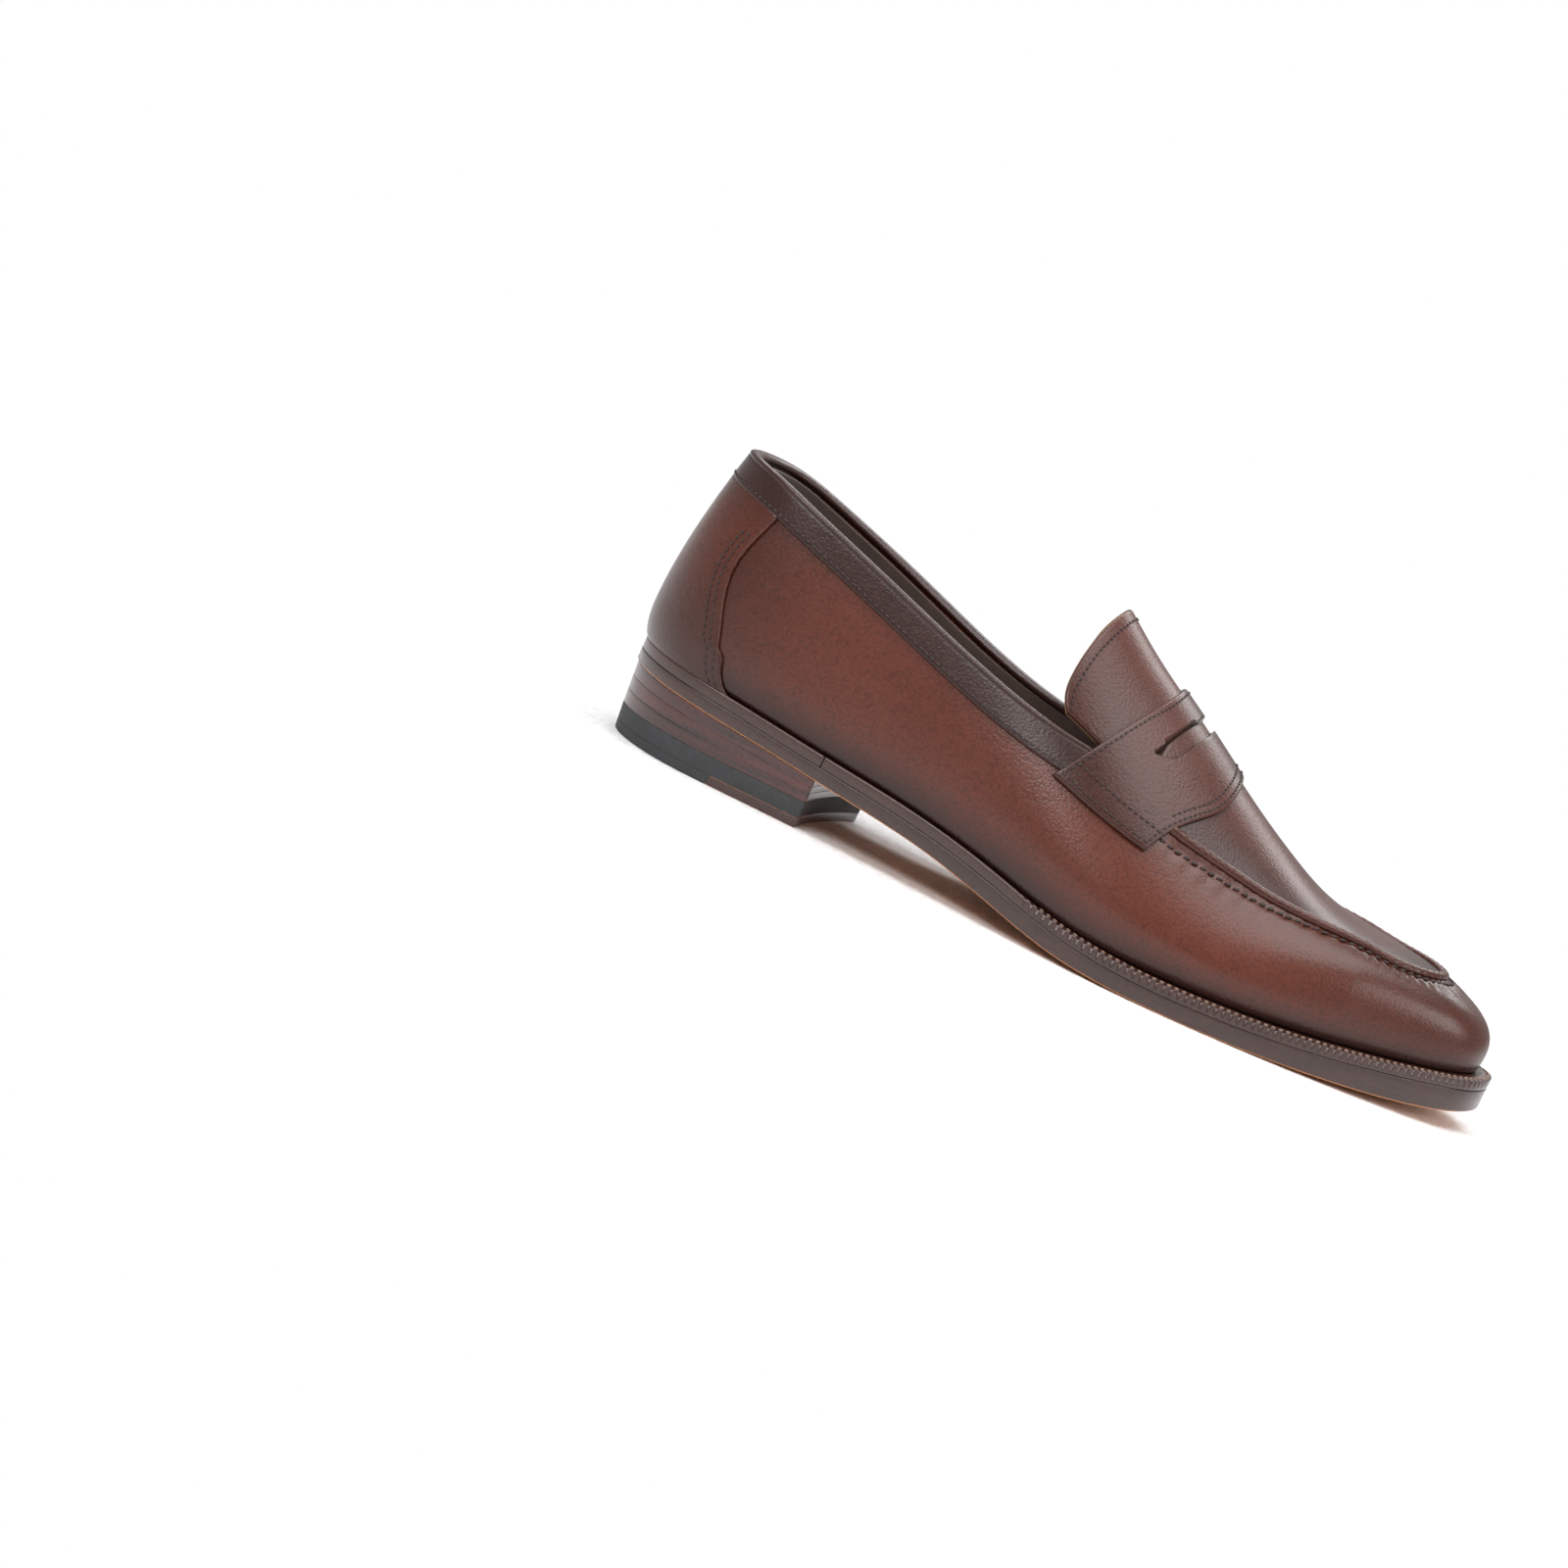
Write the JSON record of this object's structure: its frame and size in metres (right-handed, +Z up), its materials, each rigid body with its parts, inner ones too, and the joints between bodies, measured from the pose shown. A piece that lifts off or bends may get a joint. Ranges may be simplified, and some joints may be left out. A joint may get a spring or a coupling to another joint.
{
  "type": "penny loafer",
  "caption": "Right leather penny loafer: moc-toe apron, saddle strap with a cut-out, free tongue, welted leather sole and stacked heel.",
  "frame": {"origin": "on the ground, under the middle of the shoe's box", "axes": "+X towards the toe, +Y towards the medial side, +Z up"},
  "size_m": [0.3025, 0.105, 0.1032],
  "materials": {
    "upper_leather": "polished calf, burnished",
    "upper_leather_dark": "polished calf, dark burnish",
    "lining_suede": "napped suede",
    "lining_leather": "natural lining leather",
    "fibreboard": "matt leatherboard",
    "sole_leather": "oak-bark sole leather, waxed",
    "edge_leather": "dyed and waxed edge",
    "heel_leather": "stacked leather, inked edge",
    "canvas_rib": "canvas",
    "cork": "granulated cork",
    "steel": "bare steel",
    "brass_nail": "tarnished brass",
    "rubber": "matt rubber",
    "thread_dark": "waxed thread",
    "thread_pale": "waxed thread"
  },
  "bodies": {
    "shoe": {"side_panels": "upper_leather", "apron": "upper_leather", "apron_lining": "lining_suede", "saddle_strap": "upper_leather", "topline_band": "upper_leather_dark", "topline_bead": "upper_leather_dark", "heel_counter_cover": "upper_leather", "heel_stiffener": "fibreboard", "toe_puff": "fibreboard", "quarter_lining": "lining_suede", "vamp_lining": "lining_suede", "insole": "sole_leather", "insole_rib": "canvas_rib", "heel_sock": "lining_leather", "shank": "steel", "cork_filler": "cork", "welt": "edge_leather", "heel_rand": "edge_leather", "outsole": "sole_leather", "heel_lift_1": "heel_leather", "heel_lift_2": "heel_leather", "heel_lift_3": "heel_leather", "rubber_lift": "rubber", "top_piece_leather": "sole_leather", "top_piece_rubber": "rubber", "heel_nails": "brass_nail", "heel_seat_nails": "steel", "moc_seam_thread": "thread_dark", "band_thread": "thread_dark", "strap_thread": "thread_dark", "welt_thread": "thread_pale"},
    "tongue": {"tongue": "upper_leather", "tongue_lining": "lining_leather", "tongue_thread": "thread_dark"}
  },
  "joints": [
    {"name": "tongue_flex", "type": "hinge", "parent": "shoe", "child": "tongue", "pos_m": [0.0095, 0.005, 0.0855], "axis": [0, 1, 0], "range_deg": [0, 28], "stiffness_Nm_per_rad": 0.08}
  ]
}
